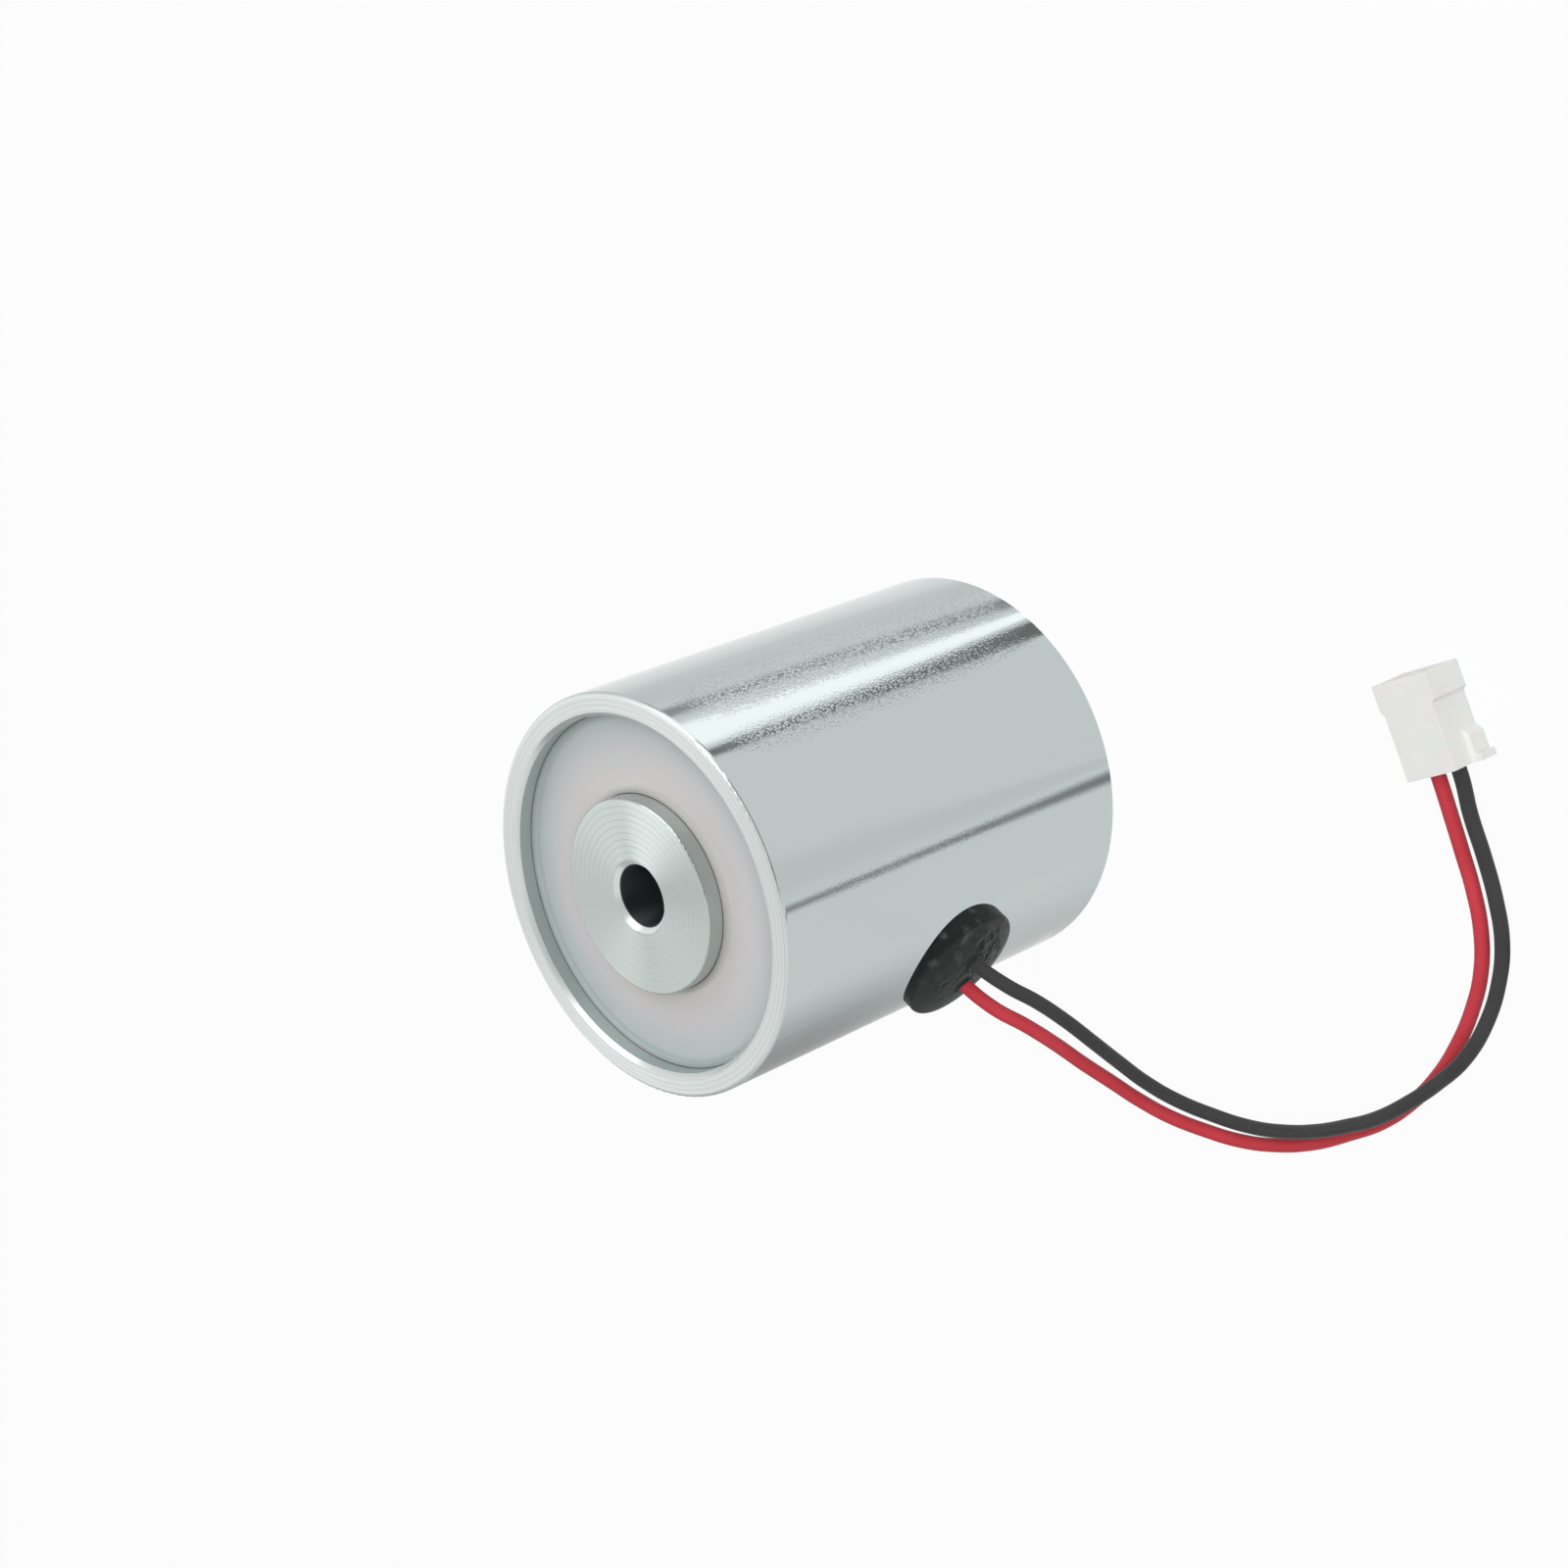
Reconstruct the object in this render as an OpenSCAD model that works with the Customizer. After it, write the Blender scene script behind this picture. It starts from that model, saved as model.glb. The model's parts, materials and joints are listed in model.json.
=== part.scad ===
// Holding electromagnet with a side grommet and two leads on a small plug.
// It stands on its rear face. The axis is Z, the pole face is up and the leads leave towards +X.

/* [Shell] */
// Outside diameter of the shell
shell_d = 34; // [33:0.5:38]
// Length from the rear face to the pole face
shell_l = 38.9; // [36:0.1:44]
// Thickness of the side wall
shell_wall = 2; // [1.6:0.05:2.4]
// Thickness of the closed rear end
back_t = 4; // [3:0.25:5]
// Rounding of the shell's outer edges
shell_edge_r = 0.35; // [0.2:0.05:0.5]
// Chamfer inside the rim
rim_chamfer = 0.35; // [0.2:0.05:0.5]

/* [Core] */
// Width of the ring between the pole piece and the shell, which holds the coil and the resin
coil_ring_w = 6.75; // [6.5:0.25:8]
// Rounding of the edge of the pole face
core_edge_r = 0.2; // [0.1:0.05:0.6]
// Diameter of the spigot that is riveted in the rear end
spigot_d = 11; // [9.5:0.25:13]
// Diameter of the hole drilled through the core
core_bore_d = 5.2; // [4:0.1:5.5]
// Chamfer at the mouth of the drilled hole
core_bore_chamfer = 0.5; // [0.2:0.1:0.8]
// Major diameter of the mounting thread
thread_d = 6; // [5.7:0.1:7]
// Depth of the mounting thread from the rear face
thread_depth = 12; // [8:0.5:16]
// Chamfer at the mouth of the mounting thread
thread_chamfer = 0.5; // [0.2:0.1:0.8]

/* [Coil] */
// Wall of the bobbin's tube
bobbin_wall = 0.9; // [0.6:0.1:1.2]
// Thickness of the bobbin's end flanges
bobbin_flange_t = 1.2; // [0.8:0.1:2]
// Width of the slot in the rear flange for the coil's start
bobbin_slot_w = 1.4; // [0.8:0.1:2]
// Radial room left between the tape and the shell for the leads
lead_room = 3; // [2.9:0.1:3.6]
// Thickness of the tape wrapped over the coil
tape_t = 0.2; // [0.1:0.05:0.3]

/* [Resin] */
// Depth of the resin's surface below the pole face
resin_recess = 1.9; // [0.8:0.1:2.5]
// Thickness of the resin over the bobbin
resin_t = 2.6; // [1.5:0.1:4]
// Height that the resin creeps up the walls
resin_creep = 0.35; // [0.2:0.05:0.6]

/* [Grommet] */
// Height of the grommet's centre above the rear face
grommet_z = 18; // [15:0.5:22]
// Diameter of the outer flange
flange_d = 10.8; // [9:0.2:12]
// Thickness of the outer flange at its edge
flange_t = 1; // [0.8:0.1:1.6]
// Height of the flange's crown above its edge
flange_crown = 0.9; // [0.5:0.1:1.2]
// Rounding of the flange's edge
flange_edge_r = 0.4; // [0.2:0.05:0.4]
// Diameter of the hole in the shell
grommet_hole_d = 6.4; // [5.5:0.1:7.5]
// How far the inner lip reaches past the hole
lip_reach = 0.7; // [0.4:0.1:1.2]
// Thickness of the inner lip
lip_t = 0.9; // [0.6:0.05:1]

/* [Leads] */
// Diameter of a lead over its insulation
lead_d = 1.2; // [1:0.05:1.3]
// Distance between the two leads in the grommet
lead_pitch = 2.6; // [2.2:0.1:2.8]
// Diameter of the sleeve over a joint with the coil
splice_d = 1.6; // [1.3:0.05:1.7]
// Length of that sleeve
splice_l = 9; // [6:0.5:10]

/* [Plug] */
// Distance between the two contacts
contact_pitch = 2; // [1.9:0.05:2.2]
// Width of the housing's body
housing_w = 4.5; // [4.2:0.1:5.2]
// Length of the housing
housing_l = 7.7; // [7:0.1:9]
// Thickness of the housing
housing_t = 4.2; // [3.8:0.1:4.8]
// Side of a contact's square cavity
cavity_w = 1.5; // [1.45:0.05:1.65]
// Thickness of the wall at the mating end
mating_wall_t = 0.8; // [0.6:0.1:1.2]
// Side of the square pin holes in that wall
pin_hole_w = 1; // [0.8:0.05:1.2]
// Width of the latch windows under the cavities
window_w = 1.1; // [0.8:0.05:1.4]
// Length of the latch windows
window_l = 2; // [1.5:0.1:2.4]
// Height of the lugs on the narrow sides, at the mating end
lug_h = 0.3; // [0.2:0.05:0.6]
// Length of these lugs
lug_l = 2.1; // [1.5:0.1:2.5]
// Height of the shoulders on the narrow sides, at the lead end
shoulder_h = 0.5; // [0.3:0.05:0.7]
// Length of these shoulders
shoulder_l = 2.6; // [2:0.1:3.2]
// Thickness of the shoulders and of the pull lip, from the table up
shoulder_t = 1.9; // [1.4:0.1:2.6]
// Height of the pull lip at the lead end
pull_lip_h = 0.95; // [0.75:0.05:1.2]
// Thickness of the pull lip
pull_lip_t = 0.55; // [0.4:0.05:0.8]
// Sheet thickness of a contact
contact_sheet_t = 0.2; // [0.15:0.01:0.25]
// Length of a contact's box
contact_box_l = 3; // [2.4:0.1:3.4]
// Length of a contact's crimp barrel
barrel_l = 1.3; // [1:0.1:1.5]
// Height of the crimp barrel's sides
barrel_h = 1.1; // [0.8:0.05:1.2]

/* [Hidden] */

$fn = 96;
// Overshoot of a cut past the face that it opens
cut = 1;
// Radial play between a piece and what it is set in
fit = 0.05;
// Radial play of the bobbin on the core and in the shell
bobbin_play = 0.15;

shell_r = shell_d / 2;
shell_in_r = shell_r - shell_wall;
core_r = shell_in_r - coil_ring_w;
resin_top = shell_l - resin_recess;
bobbin_bottom = back_t + fit;
bobbin_top = resin_top - resin_t;
bobbin_in_r = core_r + bobbin_play;
bobbin_tube_r = bobbin_in_r + bobbin_wall;
bobbin_flange_r = shell_in_r - bobbin_play;
winding_bottom = bobbin_bottom + bobbin_flange_t;
winding_top = bobbin_top - bobbin_flange_t;
tape_r = shell_in_r - lead_room;
tape_in_r = tape_r - tape_t;
winding_r = tape_in_r - fit;

// Grommet sizes, measured along its own axis from the axis of the shell
grommet_neck_d = grommet_hole_d - 2 * fit;
lip_in_x = shell_in_r - lip_t;
flange_top_x = shell_r + flange_t;
crown_x = flange_top_x + flange_crown;
lead_hole_d = lead_d + 2 * fit;
splice_x = tape_r + fit + splice_d / 2;
lead_in_x = splice_x + splice_d / 2 + fit;

// Place of the plug: middle of its lead end on the table, and the way that its mating end points
plug_x = 38.7;
plug_y = 35.4;
plug_angle = 144;
contact_z = housing_t / 2;
// How far a lead reaches into the housing, and the straight run in front of it
lead_in_housing = 1.4;
lead_before_housing = 0.9;
contact_start = lead_in_housing + fit;
contact_l = housing_l - mating_wall_t - fit - contact_start;

// Routes from the grommet down to the table and round to the plug
red_points = [
    [22, -1.5, 17.2], [24.3, -2, 15.5], [26.4, -3.3, 13.2], [28.4, -5, 10.7], [30.3, -6.6, 8.2],
    [32.3, -8.1, 5.8], [34.6, -9.1, 3.5], [37.1, -9.1, 1.7], [39.8, -8, 0.8], [42.8, -5.4, 0.7],
    [45.3, -2.4, 0.7], [47.4, 1.1, 0.7], [49.2, 4.6, 0.7], [50.3, 8.3, 0.7], [50.8, 12, 0.7],
    [50.7, 15.6, 0.7], [50.1, 19.2, 0.7], [49, 22.5, 0.7], [47.2, 25.4, 0.7], [45, 27.7, 0.7],
    [42.7, 29.9, 1], [40.7, 32.2, 1.7]
];
black_points = [
    [22, 1.4, 17.3], [24.3, 1, 15.7], [26.4, -0.4, 13.4], [28.3, -2.2, 11], [30.1, -4.3, 8.3],
    [32.1, -6.1, 5.8], [34.4, -7.1, 3.6], [37.1, -7, 1.9], [40, -5.7, 1.2], [42.9, -3.1, 1.4],
    [45.4, -0.1, 1.8], [47.2, 2.6, 2.1], [49, 5.6, 2.2], [50.4, 9, 2.2], [51.5, 12.6, 2.2],
    [52.2, 16.5, 2.1], [51.8, 20, 1.5], [50.7, 23, 0.9], [49.1, 25.9, 0.7], [46.9, 28.4, 0.7],
    [44.5, 30.8, 1], [41.9, 33.5, 1.7]
];
lead_sides = 8;

// A point in the plug: across its width, along its length and up from the table
function plug_point(across, along, up) = [
    plug_x + along * cos(plug_angle) + across * sin(plug_angle),
    plug_y + along * sin(plug_angle) - across * cos(plug_angle),
    up
];
// A whole route, straight in the grommet and in the housing; side is -1 for red and 1 for black
function lead_route(points, side) = concat(
    [[lead_in_x, side * lead_pitch / 2, grommet_z], [crown_x + fit, side * lead_pitch / 2, grommet_z]],
    points,
    [for (along = [-lead_before_housing, lead_in_housing])
        plug_point(side * contact_pitch / 2, along, contact_z)]
);

function unit(v) = v / norm(v);
// Direction of a route at one of its points
function heading(route, i) =
    unit(route[min(i + 1, len(route) - 1)] - route[max(i - 1, 0)]);
// Corners of a round section across a route
function section(route, i, r, sides) =
    let (side = unit(cross(heading(route, i), [0, 0, 1])), up = cross(side, heading(route, i)))
    [for (k = [0 : sides - 1]) route[i] + r * (cos(k * 360 / sides) * side + sin(k * 360 / sides) * up)];

// One solid tube along a route
module tube(route, d, sides) {
    last = len(route) - 1;
    corners = [for (i = [0 : last]) each section(route, i, d / 2, sides)];
    walls = [for (i = [0 : last - 1], k = [0 : sides - 1])
        let (next = (k + 1) % sides)
        [i * sides + k, (i + 1) * sides + k, (i + 1) * sides + next, i * sides + next]];
    ends = [[for (k = [0 : sides - 1]) k], [for (k = [0 : sides - 1]) last * sides + sides - 1 - k]];
    polyhedron(corners, concat(walls, ends));
}

// Half section of a turned bar, rounded at the top edge and, if asked for, at the bottom edge
module bar_section(r, bottom, top, round_r, round_bottom = false) {
    foot = round_bottom ? round_r : 0;
    translate([0, bottom]) square([r - round_r, top - bottom]);
    translate([0, bottom + foot]) square([r, top - bottom - round_r - foot]);
    translate([r - round_r, top - round_r]) circle(round_r);
    if (round_bottom) translate([r - round_r, bottom + round_r]) circle(round_r);
}

// Half section of a ring
module ring_section(in_r, out_r, bottom, top) {
    translate([in_r, bottom]) square([out_r - in_r, top - bottom]);
}

// Puts a piece of the grommet, made upright, on the grommet's axis
module on_grommet_axis() {
    translate([0, 0, grommet_z]) rotate([0, 90, 0]) children();
}

// Deep cup, closed at the rear, with the grommet's hole in its side
module shell() {
    color("lightsteelblue") difference() {
        rotate_extrude() difference() {
            bar_section(shell_r, 0, shell_l, shell_edge_r, true);
            ring_section(0, shell_in_r, back_t, shell_l + cut);
            polygon([
                [shell_in_r - cut, shell_l - rim_chamfer - cut],
                [shell_in_r + rim_chamfer + cut, shell_l + cut],
                [shell_in_r - cut, shell_l + cut]
            ]);
            ring_section(0, spigot_d / 2 + fit, -cut, back_t + cut);
        }
        on_grommet_axis() cylinder(d = grommet_hole_d, h = shell_d);
    }
}

// Turned pole piece, drilled through and tapped from the rear
module core() {
    color("silver") rotate_extrude() difference() {
        union() {
            bar_section(core_r, back_t, shell_l, core_edge_r);
            ring_section(0, spigot_d / 2, 0, back_t + cut);
        }
        ring_section(0, core_bore_d / 2, -cut, shell_l + cut);
        ring_section(0, thread_d / 2, -cut, thread_depth);
        mouth(core_bore_d / 2, core_bore_chamfer, shell_l, 1);
        mouth(thread_d / 2, thread_chamfer, 0, -1);
    }
}

// Half section of the chamfer at the mouth of a hole; way is 1 for a mouth that faces up
module mouth(r, chamfer, face, way) {
    polygon([
        [0, face + way * cut], [r + chamfer + cut, face + way * cut],
        [r, face - way * chamfer], [0, face - way * chamfer]
    ]);
}

// Moulded former with a slot in its rear flange for the coil's start
module bobbin() {
    color("ivory") difference() {
        rotate_extrude() {
            ring_section(bobbin_in_r, bobbin_tube_r, bobbin_bottom, bobbin_top);
            ring_section(bobbin_in_r, bobbin_flange_r, bobbin_bottom, winding_bottom);
            ring_section(bobbin_in_r, bobbin_flange_r, winding_top, bobbin_top);
        }
        translate([bobbin_tube_r + fit, -bobbin_slot_w / 2, bobbin_bottom - cut])
            cube([shell_r, bobbin_slot_w, bobbin_flange_t + 2 * cut]);
    }
}

// Coil of enamelled wire
module winding() {
    color("peru") rotate_extrude()
        ring_section(bobbin_tube_r + fit, winding_r, winding_bottom + fit, winding_top - fit);
}

// Tape wrapped over the coil
module winding_tape() {
    color("khaki") rotate_extrude()
        ring_section(tape_in_r, tape_r, winding_bottom + fit, winding_top - fit);
}

// Resin ring over the bobbin, with its surface drawn up a little along both walls
module potting_resin() {
    in_r = core_r + fit;
    out_r = shell_in_r - fit;
    // Middles of the two hollow fillets, set off so that the resin's edges keep some thickness
    fillets = [in_r + fit + resin_creep, out_r - fit - resin_creep];
    color("mistyrose") rotate_extrude() difference() {
        ring_section(in_r, out_r, bobbin_top, resin_top + resin_creep);
        ring_section(fillets[0], fillets[1], resin_top, resin_top + cut);
        for (x = fillets) translate([x, resin_top + resin_creep]) circle(resin_creep);
    }
}

// Half section of the grommet's outer flange, from the axis of the shell outwards
module flange_section() {
    crown_edge = flange_d / 2 - flange_edge_r;
    crown_r = (crown_edge * crown_edge + flange_crown * flange_crown) / (2 * flange_crown);
    hull() {
        bar_section(flange_d / 2, shell_in_r, flange_top_x, flange_edge_r);
        intersection() {
            translate([0, crown_x - crown_r]) circle(crown_r);
            ring_section(0, crown_edge, flange_top_x - flange_edge_r, crown_x + cut);
        }
    }
}

// Rubber grommet: an outer flange and an inner lip shaped to the shell, and a neck in its hole
module grommet() {
    lip_d = grommet_hole_d + 2 * lip_reach;
    color("dimgray") difference() {
        union() {
            difference() {
                on_grommet_axis() rotate_extrude() flange_section();
                cylinder(r = shell_r + fit, h = shell_l);
            }
            intersection() {
                on_grommet_axis() translate([0, 0, lip_in_x]) cylinder(d = lip_d, h = lip_t);
                cylinder(r = shell_in_r - fit, h = shell_l);
            }
            on_grommet_axis() translate([0, 0, lip_in_x])
                cylinder(d = grommet_neck_d, h = flange_top_x - lip_in_x);
        }
        for (side = [-1, 1]) on_grommet_axis() translate([0, side * lead_pitch / 2, 0])
            cylinder(d = lead_hole_d, h = crown_x + cut);
    }
}

// Sleeve over the joint of a lead and the coil's end, lying on the tape behind the grommet
module splice(side) {
    translate([splice_x, side * lead_pitch / 2, grommet_z + lead_d - splice_l])
        cylinder(d = splice_d, h = splice_l);
}

module red_splice() { color("firebrick") splice(-1); }
module black_splice() { color("black") splice(1); }

module red_lead() { color("crimson") tube(lead_route(red_points, -1), lead_d, lead_sides); }
module black_lead() { color("black") tube(lead_route(black_points, 1), lead_d, lead_sides); }

// Puts a piece of the plug, made along Y with its lead end at 0, in its place
module in_plug() {
    translate([plug_x, plug_y, 0]) rotate([0, 0, plug_angle - 90]) children();
}

// A square bar along the plug, between two places on its length
module square_bar(w, start, end) {
    translate([-w / 2, start, -w / 2]) cube([w, end - start, w]);
}

// Outline of the housing's lower half seen from above: body, shoulders, pull lips and lugs
module housing_outline() {
    half = housing_w / 2;
    for (m = [0, 1]) mirror([m, 0]) polygon([
        [0, 0], [half + pull_lip_h, 0], [half + pull_lip_h, pull_lip_t], [half + shoulder_h, pull_lip_t],
        [half + shoulder_h, shoulder_l - shoulder_h], [half, shoulder_l],
        [half, housing_l - lug_l - lug_h], [half + lug_h, housing_l - lug_l],
        [half + lug_h, housing_l], [0, housing_l]
    ]);
}

// Outline of the upper half, which has the lugs only
module housing_top_outline() {
    half = housing_w / 2;
    for (m = [0, 1]) mirror([m, 0]) polygon([
        [0, 0], [half, 0], [half, housing_l - lug_l - lug_h], [half + lug_h, housing_l - lug_l],
        [half + lug_h, housing_l], [0, housing_l]
    ]);
}

// White housing with two square cavities, latch windows below and pin holes at the mating end
module connector_housing() {
    color("white") in_plug() difference() {
        union() {
            linear_extrude(shoulder_t) housing_outline();
            linear_extrude(housing_t) housing_top_outline();
        }
        for (side = [-1, 1]) translate([side * contact_pitch / 2, 0, contact_z]) {
            square_bar(cavity_w, -cut, housing_l - mating_wall_t);
            square_bar(pin_hole_w, -cut, housing_l + cut);
            translate([-window_w / 2, housing_l - lug_l - window_l, -housing_t])
                cube([window_w, window_l, housing_t]);
        }
    }
}

// Crimped contact: a square box at the mating end and an open barrel at the lead's end
module terminal(side) {
    box_w = cavity_w - 4 * fit;
    color("gold") in_plug() translate([side * contact_pitch / 2, contact_start, contact_z]) {
        difference() {
            square_bar(box_w, contact_l - contact_box_l, contact_l);
            square_bar(box_w - 2 * contact_sheet_t, contact_l - contact_box_l - cut, contact_l + cut);
        }
        translate([-box_w / 2, 0, -box_w / 2]) cube([box_w, contact_l, contact_sheet_t]);
        for (x = [-box_w / 2, box_w / 2 - contact_sheet_t]) translate([x, 0, -box_w / 2])
            cube([contact_sheet_t, barrel_l, barrel_h]);
    }
}

module red_terminal() { terminal(-1); }
module black_terminal() { terminal(1); }

shell();
core();
bobbin();
winding();
winding_tape();
potting_resin();
grommet();
red_splice();
black_splice();
red_lead();
black_lead();
connector_housing();
red_terminal();
black_terminal();
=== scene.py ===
"""Holding electromagnet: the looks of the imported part, its two leads and a plain studio."""

import json
import math

import bmesh
import bpy
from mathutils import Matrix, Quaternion, Vector, noise

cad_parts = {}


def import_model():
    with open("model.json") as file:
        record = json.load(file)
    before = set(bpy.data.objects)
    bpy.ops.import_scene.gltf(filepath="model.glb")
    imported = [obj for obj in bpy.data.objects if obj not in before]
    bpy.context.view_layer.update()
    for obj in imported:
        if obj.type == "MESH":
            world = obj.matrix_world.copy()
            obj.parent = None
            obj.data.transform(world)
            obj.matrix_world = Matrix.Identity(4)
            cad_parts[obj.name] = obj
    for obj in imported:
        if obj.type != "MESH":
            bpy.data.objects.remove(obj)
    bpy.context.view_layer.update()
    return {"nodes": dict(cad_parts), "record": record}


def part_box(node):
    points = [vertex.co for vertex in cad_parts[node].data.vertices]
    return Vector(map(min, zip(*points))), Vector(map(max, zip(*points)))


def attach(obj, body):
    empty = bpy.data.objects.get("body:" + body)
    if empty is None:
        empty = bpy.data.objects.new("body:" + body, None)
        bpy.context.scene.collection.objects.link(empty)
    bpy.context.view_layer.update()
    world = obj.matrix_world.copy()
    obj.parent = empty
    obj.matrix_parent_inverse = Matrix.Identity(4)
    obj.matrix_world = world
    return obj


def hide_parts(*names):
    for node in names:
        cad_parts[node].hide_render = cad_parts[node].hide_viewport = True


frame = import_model()
nodes = frame["nodes"]

MM = 0.001

# Sizes of the frame
SHELL_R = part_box("shell")[1].y
POLE_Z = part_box("shell")[1].z
CORE_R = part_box("core")[1].y
RESIN_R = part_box("potting_resin")[1].y
RESIN_PLAY = 0.05 * MM
SHELL_IN_R = RESIN_R + RESIN_PLAY
BORE_R = 2.6 * MM
THREAD_R = 3 * MM
THREAD_PITCH = 1 * MM
GROMMET_Z = 18 * MM
CROWN_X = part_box("grommet")[1].x
FLANGE_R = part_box("grommet")[1].y
FLANGE_TOP_X = 18 * MM
FLANGE_EDGE_R = 0.4 * MM

# The leads, from behind the grommet to the contacts, in the route of the part's source
LEAD_D = 1.2 * MM
LEAD_PITCH = 2.6 * MM
LEAD_IN_X = 13.7 * MM
PLUG_PLACE = Vector((38.7, 35.4, 0)) * MM
PLUG_ANGLE = math.radians(144)
CONTACT_PITCH = 2 * MM
CONTACT_Z = 2.1 * MM
LEAD_BEFORE_HOUSING = 0.9 * MM
LEAD_IN_HOUSING = 1.4 * MM
RED_POINTS = [
    (22, -1.5, 17.2), (24.3, -2, 15.5), (26.4, -3.3, 13.2), (28.4, -5, 10.7), (30.3, -6.6, 8.2),
    (32.3, -8.1, 5.8), (34.6, -9.1, 3.5), (37.1, -9.1, 1.7), (39.8, -8, 0.8), (42.8, -5.4, 0.7),
    (45.3, -2.4, 0.7), (47.4, 1.1, 0.7), (49.2, 4.6, 0.7), (50.3, 8.3, 0.7), (50.8, 12, 0.7),
    (50.7, 15.6, 0.7), (50.1, 19.2, 0.7), (49, 22.5, 0.7), (47.2, 25.4, 0.7), (45, 27.7, 0.7),
    (42.7, 29.9, 1), (40.7, 32.2, 1.7),
]
BLACK_POINTS = [
    (22, 1.4, 17.3), (24.3, 1, 15.7), (26.4, -0.4, 13.4), (28.3, -2.2, 11), (30.1, -4.3, 8.3),
    (32.1, -6.1, 5.8), (34.4, -7.1, 3.6), (37.1, -7, 1.9), (40, -5.7, 1.2), (42.9, -3.1, 1.4),
    (45.4, -0.1, 1.8), (47.2, 2.6, 2.1), (49, 5.6, 2.2), (50.4, 9, 2.2), (51.5, 12.6, 2.2),
    (52.2, 16.5, 2.1), (51.8, 20, 1.5), (50.7, 23, 0.9), (49.1, 25.9, 0.7), (46.9, 28.4, 0.7),
    (44.5, 30.8, 1), (41.9, 33.5, 1.7),
]

# The camera, at the photograph's viewing angle
CAMERA_PLACE = Vector((103.64, 164.83, 185)) * MM
CAMERA_AIM = Vector((-10.26, -7.88, 10)) * MM
CAMERA_ROLL = math.radians(-111.28)
LENS = 69.75
SENSOR = 36

# Reflectors on the floor: the height of one level over it, the heights on the shell's side that they are
# drawn for, from front to rear, and how far past the front their edges go on in the same way
STRIP_Z = 0.03 * MM
STRIP_HEIGHTS = 35 * MM, 19.5 * MM, 5.5 * MM
STRIP_PAST_FRONT = 1.3


class Socket:
    """An output in a node tree. Arithmetic on it adds Math nodes."""

    def __init__(self, nodes, output):
        self.nodes, self.output = nodes, output

    def math(self, operation, *values):
        return self.nodes.add("ShaderNodeMath", {"operation": operation}, dict(enumerate(values)))

    def __add__(self, other):
        return self.math("ADD", self, other)

    __radd__ = __add__

    def __sub__(self, other):
        return self.math("SUBTRACT", self, other)

    def __rsub__(self, other):
        return self.math("SUBTRACT", other, self)

    def __mul__(self, other):
        return self.math("MULTIPLY", self, other)

    __rmul__ = __mul__

    def __pow__(self, other):
        return self.math("POWER", self, other)

    def sin(self):
        return self.math("SINE", self)

    def fraction(self):
        return self.math("FRACT", self)

    def larger(self, other):
        return self.math("MAXIMUM", self, other)


class Nodes:
    """A node tree that is built up by calls."""

    def __init__(self, tree):
        self.tree = tree

    def add(self, kind, settings=None, sockets=None, output=0):
        """One node: its settings, then the values or links of its sockets."""
        made = self.tree.nodes.new(kind)
        for name, value in (settings or {}).items():
            setattr(made, name, value)
        self.feed(made, sockets or {})
        return Socket(self, made.outputs[output])

    def feed(self, node, sockets):
        for name, value in sockets.items():
            if isinstance(value, Socket):
                self.tree.links.new(node.inputs[name], value.output)
            else:
                node.inputs[name].default_value = value

    def mix(self, share, first, second):
        """Two colours mixed."""
        return self.add("ShaderNodeMix", {"data_type": "RGBA"}, {0: share, 6: first, 7: second}, 2)

    def step(self, value, low, high):
        """0 where value is at low, 1 where it is at high, with a smooth change between."""
        return self.add(
            "ShaderNodeMapRange", {"interpolation_type": "SMOOTHSTEP"},
            {"Value": value, "From Min": low, "From Max": high},
        )


class Finish(Nodes):
    """A procedural material on places in the part's own frame, in metres."""

    def __init__(self, name, **constants):
        self.material = bpy.data.materials.new(name + "_finish")
        self.material.use_nodes = True
        super().__init__(self.material.node_tree)
        self.shader = self.tree.nodes["Principled BSDF"]
        self.feed(self.shader, {key.replace("_", " "): value for key, value in constants.items()})
        self.place = self.add("ShaderNodeTexCoord", output="Object")
        self.x, self.y, self.z = (
            self.add("ShaderNodeSeparateXYZ", sockets={0: self.place}, output=axis) for axis in range(3)
        )

    def radius(self):
        """Distance from the magnet's axis."""
        return (self.x * self.x + self.y * self.y) ** 0.5

    def vector(self, x, y, z):
        return self.add("ShaderNodeCombineXYZ", sockets={0: x, 1: y, 2: z})

    def stretched(self, x, y, z):
        return self.add("ShaderNodeVectorMath", {"operation": "MULTIPLY"}, {0: self.place, 1: (x, y, z)})

    def noise(self, place, size, detail=2):
        """Noise from 0 to 1 with patches of about that size."""
        return self.add(
            "ShaderNodeTexNoise", sockets={"Vector": place, "Scale": 1 / size, "Detail": detail}
        )

    def surface(self, color, roughness, height=None, relief=1):
        """Feeds the shader. The height is in units of the relief, a length."""
        self.feed(self.shader, {"Base Color": color, "Roughness": roughness})
        if height is not None:
            bump = self.add("ShaderNodeBump", sockets={"Height": height, "Distance": relief})
            self.feed(self.shader, {"Normal": bump})
        return self.material


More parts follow.
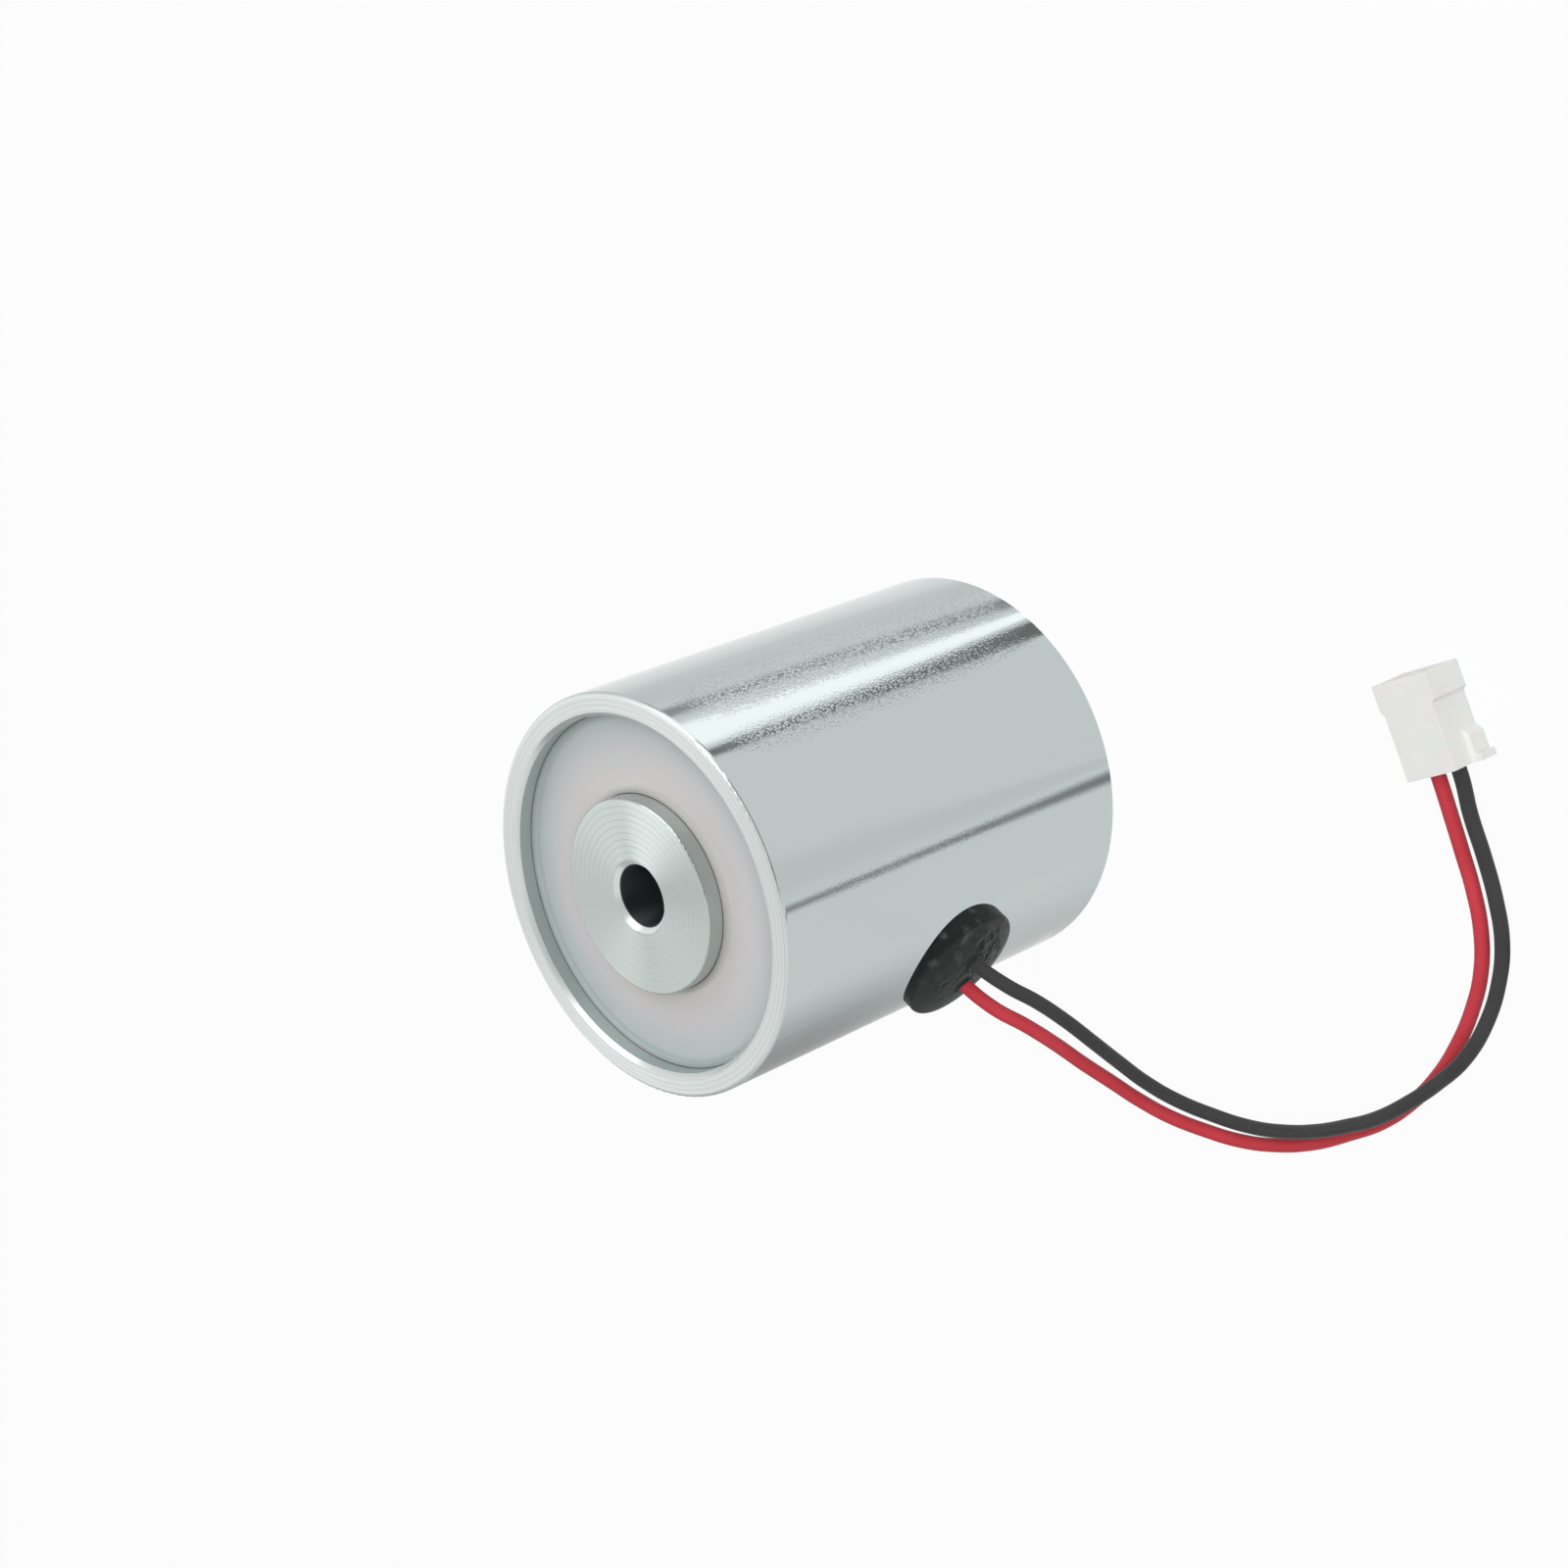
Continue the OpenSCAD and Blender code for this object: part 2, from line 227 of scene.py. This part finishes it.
def zinc_plate():
    """Bright zinc on a turned steel cup: a speckled side, turning lines on the rim, a dull inside with a
    lighter colour that is a painted reflection of the resin.
    """
    f = Finish("zinc_plate", Metallic=1, Anisotropic=0.6, Anisotropic_Rotation=0.25)
    radius = f.radius()
    end = f.step(f.z, POLE_Z - 0.42 * MM, POLE_Z - 0.38 * MM)
    rim = end * f.step(radius, SHELL_R - 0.05 * MM, SHELL_R - 0.12 * MM)
    inside = f.step(radius, SHELL_IN_R + 0.06 * MM, SHELL_IN_R + 0.02 * MM)
    upper_band = f.step(f.x, -1 * MM, -2.6 * MM) * f.step(f.x, -9 * MM, -6 * MM)
    lower_band = f.step(f.x, -1 * MM, 0.6 * MM) * f.step(f.x, 4 * MM, 2 * MM)
    speckled = 0.06 + (0.94 * upper_band + 0.35 * lower_band) * f.step(f.y, 0, 10 * MM)
    speckled = speckled * f.step(f.z, POLE_Z - 0.4 * MM, POLE_Z - 8 * MM)
    speck = f.step(f.noise(f.place, 0.2 * MM, 1), 0.46, 0.72)
    drawn = f.noise(f.stretched(1, 1, 0.04), 0.5 * MM, 3)
    cloud = f.noise(f.stretched(1, 1, 0.5), 9 * MM)
    patch = f.noise(f.place, 5 * MM)
    line = (radius * (1 / (0.42 * MM)) + 0.6 * patch).fraction()
    scratch = f.noise(f.vector(radius * 30, f.x, f.y), 6 * MM, 4)
    plate = f.mix(cloud, (0.5, 0.565, 0.555, 1), (0.545, 0.59, 0.58, 1))
    turned = f.mix(line, (0.57, 0.61, 0.595, 1), (0.68, 0.71, 0.695, 1))
    plate = f.mix(rim, plate, turned)
    # Painted reflection: the inside wall gets a lighter colour that stands in for the resin it mirrors.
    plate = f.mix(inside, plate, (0.57, 0.63, 0.62, 1))
    rough = 0.09 + 0.03 * cloud + 0.18 * rim + 0.25 * inside
    side = (1 - rim) * (1 - inside)
    height = side * (2.4 * speckled * speck + 0.2 * drawn) + rim * (2.5 * line + 1.5 * scratch)
    return f.surface(plate, rough, height, 0.01 * MM)


def turned_zinc():
    """Turned and zinc plated: saw-tooth rings on the pole face with painted shade in them, stronger on one
    side, a plain side, a painted highlight on the hole's chamfer, and a drilled hole painted nearly black
    as shade.
    """
    f = Finish("turned_zinc", Metallic=1, Anisotropic=0.9, Anisotropic_Rotation=0.25)
    radius = f.radius()
    face = f.step(f.z, POLE_Z - 0.1 * MM, POLE_Z - 0.03 * MM)
    hole = f.step(radius, BORE_R + 0.1 * MM, BORE_R + 0.04 * MM)
    patch = f.noise(f.place, 4 * MM)
    ring = (radius * (1 / (0.55 * MM)) + 0.3 * patch).fraction()
    scratch = f.noise(f.vector(radius * 40, f.x, f.y), 5 * MM, 4)
    metal = f.mix(patch, (0.5, 0.555, 0.54, 1), (0.55, 0.595, 0.58, 1))
    # Painted shade: dark ring lines on the pole face, faint all round and much stronger where y exceeds x.
    ring_shade = 0.12 + 0.4 * f.step(f.y - f.x, 0, 6 * MM)
    metal = f.mix(ring_shade * face * f.step(ring, 0.72, 0.95), metal, (0.4, 0.445, 0.43, 1))
    # Painted highlight: the chamfer round the hole gets a much lighter colour.
    chamfer_highlight = (1 - face) * f.step(radius, BORE_R + 0.7 * MM, BORE_R + 0.6 * MM)
    metal = f.mix(chamfer_highlight, metal, (0.8, 0.83, 0.82, 1))
    # Painted shade: the deep hole is coloured nearly black.
    metal = f.mix(hole, metal, (0.068, 0.08, 0.08, 1))
    rough = 0.22 + 0.05 * patch + 0.03 * face + 0.2 * chamfer_highlight + 0.1 * hole
    height = face * (1.2 * scratch - 3.5 * ring)
    return f.surface(metal, rough, height, 0.01 * MM)


def milky_resin():
    """Cast resin, darker and bluish towards the shell and warm over the coil, with painted shade in narrow
    rings along the shell wall and round the core, and a soft gloss.
    """
    f = Finish("milky_resin", Subsurface_Weight=0.15, Subsurface_Scale=0.001)
    radius = f.radius()
    to_shell = f.step(radius, RESIN_R - 4.5 * MM, RESIN_R - 0.3 * MM)
    to_core = f.step(radius, CORE_R + 3 * MM, CORE_R)
    cloud = f.noise(f.place, 5 * MM)
    resin = f.mix(cloud, (0.57, 0.575, 0.585, 1), (0.625, 0.585, 0.59, 1))
    resin = f.mix(to_shell, resin, (0.475, 0.525, 0.525, 1))
    resin = f.mix(0.7 * to_core, resin, (0.63, 0.6, 0.565, 1))
    # Painted shade: a dark ring where the resin meets the shell wall.
    resin = f.mix(f.step(radius, RESIN_R - 0.9 * MM, RESIN_R - 0.1 * MM), resin, (0.345, 0.39, 0.39, 1))
    # Painted shade: a darker ring where the resin meets the core.
    resin = f.mix(f.step(radius, CORE_R + 0.7 * MM, CORE_R + 0.1 * MM), resin, (0.42, 0.41, 0.395, 1))
    ripple = f.noise(f.place, 2.5 * MM)
    rough = 0.32 + 0.08 * f.noise(f.place, 0.4 * MM)
    return f.surface(resin, rough, ripple, 0.02 * MM)


def black_rubber():
    """Moulded rubber: nearly black with a satin skin, and grey spots of painted glint, mostly where it is
    lumpy.
    """
    f = Finish("black_rubber", Specular_IOR_Level=0.2)
    cloud = f.noise(f.place, 1.3 * MM, 3)
    skin = f.noise(f.place, 0.25 * MM, 3)
    lumpy = f.step(f.y, -1 * MM, 4 * MM)
    # Painted glints: grey spots in the colour, a few all over and more on the lumpy side.
    glint_spots = f.step(cloud, 0.52, 0.75) * (0.12 + 0.88 * lumpy)
    rubber = f.mix(glint_spots, (0.009, 0.011, 0.0105, 1), (0.06, 0.062, 0.06, 1))
    rough = 0.32 + 0.25 * skin
    return f.surface(rubber, rough, cloud + 0.3 * skin, 0.06 * MM)


def insulation(name, dark, light):
    """Extruded lead insulation: a satin skin with faint mottling."""
    f = Finish(name, Specular_IOR_Level=0.15)
    mottle = f.noise(f.place, 3 * MM)
    skin = f.noise(f.place, 0.2 * MM, 2)
    return f.surface(f.mix(mottle, dark, light), 0.42 + 0.14 * skin, skin, 0.006 * MM)


def white_nylon():
    """Moulded nylon: milky white with a slightly uneven skin."""
    f = Finish("white_nylon", Subsurface_Weight=0.3, Subsurface_Scale=0.0008)
    cloud = f.noise(f.place, 2.5 * MM)
    skin = f.noise(f.place, 0.12 * MM, 2)
    nylon = f.mix(cloud, (0.78, 0.785, 0.75, 1), (0.825, 0.825, 0.8, 1))
    return f.surface(nylon, 0.42 + 0.15 * skin, skin, 0.006 * MM)


def bobbin_nylon():
    """Natural nylon of the coil former."""
    f = Finish("bobbin_nylon")
    cloud = f.noise(f.place, 4 * MM)
    skin = f.noise(f.place, 0.2 * MM, 2)
    nylon = f.mix(cloud, (0.72, 0.69, 0.6, 1), (0.78, 0.75, 0.67, 1))
    return f.surface(nylon, 0.45 + 0.15 * skin, skin, 0.008 * MM)


def copper_wire():
    """Enamelled copper, layer on layer of turns."""
    f = Finish("copper_wire", Metallic=0.9)
    turns = (f.z * (2 * math.pi / (0.28 * MM))).sin()
    tone = f.noise(f.stretched(1, 1, 4), 3 * MM)
    copper = f.mix(tone, (0.42, 0.13, 0.05, 1), (0.62, 0.25, 0.1, 1))
    return f.surface(copper, 0.28 + 0.1 * tone, turns, 0.06 * MM)


def coil_tape():
    """Amber polyester tape with the lines of its overlaps."""
    f = Finish("coil_tape", Coat_Weight=0.4)
    overlap = (f.z * (2 * math.pi / (6 * MM))).sin()
    line = f.step(overlap, 0.9, 0.98)
    tone = f.noise(f.place, 5 * MM)
    tape = f.mix(tone, (0.62, 0.44, 0.12, 1), (0.72, 0.54, 0.2, 1))
    tape = f.mix(0.4 * line, tape, (0.42, 0.27, 0.06, 1))
    return f.surface(tape, 0.25 + 0.1 * tone, line, 0.03 * MM)


def tinned_brass():
    """Stamped contacts, tinned and a little dull."""
    f = Finish("tinned_brass", Metallic=1)
    tone = f.noise(f.place, 1.2 * MM)
    grain = f.noise(f.place, 0.1 * MM, 2)
    metal = f.mix(tone, (0.62, 0.59, 0.5, 1), (0.72, 0.69, 0.6, 1))
    return f.surface(metal, 0.26 + 0.12 * grain, grain, 0.004 * MM)


FINISHES = {
    "zinc_plate": zinc_plate(),
    "turned_zinc": turned_zinc(),
    "milky_resin": milky_resin(),
    "black_rubber": black_rubber(),
    "red_insulation": insulation("red_insulation", (0.52, 0.038, 0.052, 1), (0.62, 0.06, 0.082, 1)),
    "black_insulation": insulation("black_insulation", (0.035, 0.035, 0.035, 1), (0.058, 0.058, 0.059, 1)),
    "white_nylon": white_nylon(),
    "bobbin_nylon": bobbin_nylon(),
    "copper_wire": copper_wire(),
    "coil_tape": coil_tape(),
    "tinned_brass": tinned_brass(),
}
for subpart in frame["record"]["subparts"]:
    nodes[subpart["node"]].data.materials[0] = FINISHES[subpart["material_slot"]]


def new_object(name, data):
    """An object in the scene."""
    made = bpy.data.objects.new(name, data)
    bpy.context.scene.collection.objects.link(made)
    return made


def piece(name, data, slot):
    """A piece of the part, finished as the record's slot says."""
    made = new_object(name, data)
    data.materials.append(FINISHES[slot])
    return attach(made, "root")


def plug_point(across, along, up):
    """A point in the plug: across its width, along its length from the lead end, and up."""
    ahead = Vector((math.cos(PLUG_ANGLE), math.sin(PLUG_ANGLE), 0))
    aside = Vector((ahead.y, -ahead.x, 0))
    return PLUG_PLACE + along * ahead + across * aside + Vector((0, 0, up))


def lead(name, node, slot, points, side):
    """One lead as a smooth curve; side is -1 for red and 1 for black."""
    across = side * LEAD_PITCH / 2
    leaves = Vector((CROWN_X, across, GROMMET_Z))
    route = [Vector((LEAD_IN_X, across, GROMMET_Z)), leaves]
    route += [Vector(point) * MM for point in points]
    route += [
        plug_point(side * CONTACT_PITCH / 2, along, CONTACT_Z)
        for along in (-LEAD_BEFORE_HOUSING, LEAD_IN_HOUSING)
    ]
    curve = bpy.data.curves.new(name, "CURVE")
    curve.dimensions = "3D"
    curve.bevel_depth = LEAD_D / 2
    curve.bevel_resolution = 6
    curve.resolution_u = 8
    curve.use_fill_caps = True
    spline = curve.splines.new("BEZIER")
    spline.bezier_points.add(len(route) - 1)
    for knot, point in zip(spline.bezier_points, route):
        knot.co = point
        knot.handle_left_type = knot.handle_right_type = "AUTO"
    made = piece(name, curve, slot)
    made.visible_glossy = False
    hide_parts(node)
    length = sum((b - a).length for a, b in zip(route, route[1:]))


lead(
    "red_insulated_lead", "red_lead", "red_insulation", RED_POINTS, -1,
)
lead(
    "black_insulated_lead", "black_lead", "black_insulation", BLACK_POINTS, 1,
)


def thread_ridge():
    """The turns of the mounting thread, standing on the wall of the tapped hole."""
    steps, turns, start, sunk = 48, 10.5, 0.9 * MM, 0.02 * MM
    height, foot, crest = THREAD_R - BORE_R, 0.42 * THREAD_PITCH, 0.08 * THREAD_PITCH
    run_out, least = 0.5, 0.05
    mesh = bmesh.new()
    rows = []
    for i in range(int(turns * steps) + 1):
        turn = i / steps
        rise = min(1, turn / run_out + least, (turns - turn) / run_out + least)
        angle = 2 * math.pi * turn
        rows.append([
            mesh.verts.new((r * math.cos(angle), r * math.sin(angle), start + turn * THREAD_PITCH + dz))
            for r, dz in (
                (THREAD_R + sunk, -foot), (THREAD_R - height * rise, -crest),
                (THREAD_R - height * rise, crest), (THREAD_R + sunk, foot),
            )
        ])
    for row, following in zip(rows, rows[1:]):
        for k in range(4):
            n = (k + 1) % 4
            mesh.faces.new((row[k], row[n], following[n], following[k]))
    mesh.faces.new(rows[0][::-1])
    mesh.faces.new(rows[-1])
    bmesh.ops.recalc_face_normals(mesh, faces=mesh.faces)
    data = bpy.data.meshes.new("thread_ridge")
    mesh.to_mesh(data)
    mesh.free()
    piece("thread_ridge", data, "turned_zinc")


thread_ridge()


def flange_profile(lift):
    """Half section of the grommet's flange, raised by a lift: crown, slope, rounded edge and side."""
    crown_steps, slope_steps, edge_steps, side = 56, 10, 8, 0.1 * MM
    reach, rise = FLANGE_R - FLANGE_EDGE_R, CROWN_X - FLANGE_TOP_X
    ball_r = (reach ** 2 + rise ** 2) / (2 * rise)
    ball_x, edge_x = CROWN_X - ball_r, FLANGE_TOP_X - FLANGE_EDGE_R
    apart = Vector((reach, edge_x - ball_x))
    lean = math.atan2(apart.x, apart.y) - math.acos((ball_r - FLANGE_EDGE_R) / apart.length)

    def arc(middle_out, middle_x, r, start, end, steps):
        angles = [start + (end - start) * i / steps for i in range(steps + 1)]
        return [(middle_out + r * math.sin(a), middle_x + r * math.cos(a)) for a in angles]

    crown = arc(0, ball_x, ball_r + lift, 0, lean, crown_steps)[1:]
    edge = arc(reach, edge_x, FLANGE_EDGE_R + lift, lean, math.pi / 2, edge_steps)
    (out, x), (edge_out, edge_top_x) = crown[-1], edge[0]
    slope = [
        (out + (edge_out - out) * i / slope_steps, x + (edge_top_x - x) * i / slope_steps)
        for i in range(1, slope_steps)
    ]
    return crown + slope + edge + [(FLANGE_R + lift, edge_x - side)]


def grommet_skin():
    """The uneven skin of the grommet's flange: collars round the leads, lumps at one end, a small pit."""
    spokes, lift = 144, 0.02 * MM
    collar_r, collar_width = 0.8 * MM, 0.2 * MM
    lumps, lumps_r = Vector((2.7, -1.6)) * MM, 1.9 * MM
    pit, pit_r, pit_rim_r = Vector((-0.1, 2.9)) * MM, 0.3 * MM, 0.6 * MM
    coarse_size, fine_size, fine_layer = 0.8 * MM, 0.4 * MM, 5 * MM
    edge_fade = 1.2 * MM

    def hump(place, middle, width):
        return math.exp(-((place - middle).length / width) ** 2)

    def rise(place):
        """Height of the skin over the plain flange. The shares are in millimetres."""
        near_lead = min((place - Vector((side * LEAD_PITCH / 2, 0))).length for side in (-1, 1))
        collar = 0.22 * math.exp(-((near_lead - collar_r) / collar_width) ** 2)
        rough = noise.noise(Vector((place.x, place.y, 0)) / coarse_size)
        rough += 0.5 * noise.noise(Vector((place.x, place.y, fine_layer)) / fine_size)
        uneven = rough * (0.04 + 0.26 * hump(place, lumps, lumps_r))
        dent = 0.2 * hump(place, pit, pit_r) - 0.1 * hump(place, pit, pit_rim_r)
        edge = max(0, min(1, (FLANGE_R - FLANGE_EDGE_R - place.length) / edge_fade))
        return (0.05 + collar + uneven - dent) * edge * MM

    mesh = bmesh.new()
    sheet = []
    for out, x in flange_profile(lift):
        row = []
        for k in range(spokes):
            angle = 2 * math.pi * k / spokes
            place = Vector((math.cos(angle), math.sin(angle))) * out
            row.append(mesh.verts.new((x + rise(place), place.x, GROMMET_Z + place.y)))
        sheet.append(row)
    middle = mesh.verts.new((CROWN_X + rise(Vector((0, 0))), 0, GROMMET_Z))
    under = mesh.verts.new((FLANGE_TOP_X - 2 * FLANGE_EDGE_R, 0, GROMMET_Z))
    for k in range(spokes):
        n = (k + 1) % spokes
        mesh.faces.new((middle, sheet[0][k], sheet[0][n]))
        mesh.faces.new((under, sheet[-1][n], sheet[-1][k]))
        for row, outer in zip(sheet, sheet[1:]):
            mesh.faces.new((row[k], outer[k], outer[n], row[n]))
    bmesh.ops.recalc_face_normals(mesh, faces=mesh.faces)
    for face in mesh.faces:
        face.smooth = True
    data = bpy.data.meshes.new("grommet_skin")
    mesh.to_mesh(data)
    mesh.free()
    piece("grommet_skin", data, "black_rubber").visible_glossy = False


# The small pieces stay out of the metal's reflections
for name in ("grommet", "connector_housing", "red_terminal", "black_terminal"):
    nodes[name].visible_glossy = False
grommet_skin()

# Moulded edges of the plug
edges = nodes["connector_housing"].modifiers.new("moulded_edges", "BEVEL")
edges.width, edges.segments = 0.12 * MM, 2
edges.limit_method, edges.angle_limit = "ANGLE", math.radians(40)

# Camera
camera = new_object("camera", bpy.data.cameras.new("camera"))
camera.data.sensor_width = SENSOR
camera.data.lens = LENS
camera.data.clip_start = 0.01
camera.location = CAMERA_PLACE
camera.rotation_mode = "QUATERNION"
aimed = (CAMERA_AIM - CAMERA_PLACE).to_track_quat("-Z", "Y")
camera.rotation_quaternion = aimed @ Quaternion((0, 0, 1), CAMERA_ROLL)
bpy.context.scene.camera = camera
bpy.context.scene.view_settings.view_transform = "Standard"


def seen_white(tree_nodes):
    """1 for the rays that should meet the white background: from the camera, in metal and through glass."""
    seen = [
        tree_nodes.add("ShaderNodeLightPath", output=ray)
        for ray in ("Is Camera Ray", "Is Glossy Ray", "Is Transmission Ray")
    ]
    return seen[0].larger(seen[1]).larger(seen[2])


def floor():
    """Pale floor that keeps a faint shadow."""
    size, below, white_share = 4, 0.02 * MM, 0.95
    mesh = bmesh.new()
    bmesh.ops.create_grid(mesh, x_segments=1, y_segments=1, size=size)
    data = bpy.data.meshes.new("floor")
    mesh.to_mesh(data)
    mesh.free()
    made = new_object("floor", data)
    made.location.z = -below
    material = bpy.data.materials.new("pale_floor")
    material.use_nodes = True
    f = Nodes(material.node_tree)
    f.tree.nodes.remove(f.tree.nodes["Principled BSDF"])
    paper = f.add("ShaderNodeBsdfDiffuse", sockets={"Color": (0.65, 0.65, 0.65, 1)})
    white = f.add("ShaderNodeEmission", sockets={"Strength": 1})
    shown = f.add("ShaderNodeMixShader", sockets={0: white_share * seen_white(f), 1: paper, 2: white})
    f.feed(f.tree.nodes["Material Output"], {"Surface": shown})
    data.materials.append(material)


def world():
    """White to the eye and in reflections, and a soft fill for the rest."""
    made = bpy.data.worlds.new("studio")
    made.use_nodes = True
    f = Nodes(made.node_tree)
    seen, fill = seen_white(f), 0.3
    f.feed(f.tree.nodes["Background"], {"Color": (1, 1, 1, 1), "Strength": seen + (1 - seen) * fill})
    bpy.context.scene.world = made


def softbox(name, azimuth, elevation, distance, size, power):
    """A square area lamp that faces the magnet."""
    lamp = bpy.data.lights.new(name, "AREA")
    lamp.size, lamp.energy = size, power
    made = new_object(name, lamp)
    a, e = math.radians(azimuth), math.radians(elevation)
    way = Vector((math.cos(a) * math.cos(e), math.sin(a) * math.cos(e), math.sin(e)))
    made.location = way * distance
    made.rotation_mode = "QUATERNION"
    made.rotation_quaternion = way.to_track_quat("Z", "Y")
    return made


def reflector(name, rows, shade, soft):
    """A card that shows only in gloss: a sheet through rows of points, with soft edges across and along."""
    across = len(rows[0])
    data = bpy.data.meshes.new(name)
    data.from_pydata(
        [point for row in rows for point in row], [],
        [
            (i * across + k, i * across + k + 1, (i + 1) * across + k + 1, (i + 1) * across + k)
            for i in range(len(rows) - 1) for k in range(across - 1)
        ],
    )
    layer = data.uv_layers.new(name="sheet")
    for loop in data.loops:
        i, k = divmod(loop.vertex_index, across)
        layer.data[loop.index].uv = k / (across - 1), i / (len(rows) - 1)
    made = new_object(name, data)
    made.visible_camera = made.visible_diffuse = made.visible_shadow = False
    made.visible_transmission = made.visible_volume_scatter = False
    material = bpy.data.materials.new(name + "_card")
    material.use_nodes = True
    material.cycles.emission_sampling = "NONE"
    f = Nodes(material.node_tree)
    f.tree.nodes.remove(f.tree.nodes["Principled BSDF"])
    sheet = f.add("ShaderNodeUVMap", {"uv_map": "sheet"})
    solid = 1
    for axis, width in enumerate(soft):
        place = f.add("ShaderNodeSeparateXYZ", sockets={0: sheet}, output=axis)
        solid = solid * f.step(place, 0, width) * f.step(1 - place, 0, width)
    clear = f.add("ShaderNodeBsdfTransparent")
    glow = f.add("ShaderNodeEmission", sockets={"Strength": shade})
    shown = f.add("ShaderNodeMixShader", sockets={0: solid, 1: clear, 2: glow})
    f.feed(f.tree.nodes["Material Output"], {"Surface": shown})
    data.materials.append(material)


def floor_strip(name, level, front, middle, rear, shade, soft, ends=(120 * MM, -4 * MM), fade=0.02):
    """A reflector over the floor that the shell's side shows between two azimuths.

    The azimuths are given at the front, middle and rear of the side. A higher level covers a lower one.
    """
    along, across = 32, 9

    def mirrored(azimuth, height):
        a = math.radians(azimuth)
        normal = Vector((math.cos(a), math.sin(a), 0))
        point = normal * SHELL_R + Vector((0, 0, height))
        ray = (point - CAMERA_PLACE).normalized()
        ray -= 2 * ray.dot(normal) * normal
        return point + ray * ((level * STRIP_Z - height) / ray.z)

    def edges(height):
        upper = height > STRIP_HEIGHTS[1]
        (high, there), (low, here) = (
            ((STRIP_HEIGHTS[0], front), (STRIP_HEIGHTS[1], middle)) if upper
            else ((STRIP_HEIGHTS[1], middle), (STRIP_HEIGHTS[2], rear))
        )
        share = min(STRIP_PAST_FRONT, (height - low) / (high - low))
        return [h + (t - h) * share for t, h in zip(there, here)]

    rows = []
    for i in range(along):
        height = ends[0] + (ends[1] - ends[0]) * i / (along - 1)
        first, last = edges(height)
        rows.append([mirrored(first + (last - first) * k / (across - 1), height) for k in range(across)])
    reflector(name, rows, shade, (soft, fade))


def arch_card(name, azimuth, lengthwise, sideways, distance, shade, soft):
    """A curved reflector round the pole end, in degrees along an arch over it and to both its sides."""
    along, across = 25, 13
    a = math.radians(azimuth)
    ahead, aside = Vector((math.cos(a), math.sin(a), 0)), Vector((-math.sin(a), math.cos(a), 0))
    up = Vector((0, 0, 1))
    rows = []
    for i in range(along):
        e = math.radians(lengthwise[0] + (lengthwise[1] - lengthwise[0]) * i / (along - 1))
        row = []
        for k in range(across):
            b = math.radians(sideways[0] + (sideways[1] - sideways[0]) * k / (across - 1))
            way = math.cos(b) * (math.cos(e) * ahead + math.sin(e) * up) + math.sin(b) * aside
            row.append(way * distance + POLE_Z * up)
        rows.append(row)
    reflector(name, rows, shade, soft)


# The studio, with the cards that only the metal shows
floor()
world()
softbox("front_softbox", azimuth=59, elevation=50, distance=0.6, size=0.5, power=2.6).visible_glossy = False
softbox("side_softbox", azimuth=132, elevation=30, distance=0.6, size=0.5, power=1.2)
floor_strip("crest_strip", 1, (107, 126), (107, 126), (106, 123), shade=0.86, soft=0.35)
floor_strip("upper_dark_strip", 2, (101.2, 107), (99.4, 106.4), (97.3, 104.6), shade=0.42, soft=0.3)
floor_strip("bright_strip", 1, (88, 99.5), (88.8, 97.3), (91, 95.9), shade=1.62, soft=0.22)
floor_strip("lower_dark_strip", 2, (84.6, 88.2), (84, 89), (83.9, 90.9), shade=0.24, soft=0.25)
floor_strip("upper_shade_strip", 1, (42, 55), (42, 51), (42, 47), shade=0.9, soft=0.35)
floor_strip("thin_strip", 2, (38.7, 41.6), (38.3, 41.4), (36.6, 41.8), shade=0.34, soft=0.45)
floor_strip("low_strip", 1, (-43, 17), (-43, 17), (-43, 17), shade=0.7, soft=0.5)
floor_strip(
    "low_front_strip", 2, (-43, 17), (-43, 17), (-43, 17),
    shade=0.42, soft=0.5, ends=(70 * MM, 8 * MM), fade=0.45,
)
arch_card("camera_side_card", 72, (5, 47), (-44, 44), distance=0.45, shade=0.25, soft=(0.25, 0.15))
arch_card("overhead_end_card", 63, (105, 128), (-9, 9), distance=0.25, shade=0.5, soft=(0.25, 0.15))
arch_card("rear_grey_card", 269, (-5, 32), (-23, 30), distance=0.6, shade=0.42, soft=(0.2, 0.3))
arch_card("bright_card", 213, (40, 62), (-17, 17), distance=0.62, shade=1.95, soft=(0.2, 0.2))
arch_card("soft_bright_card", 215, (12, 40), (-15, 15), distance=0.62, shade=1.4, soft=(0.2, 0.2))
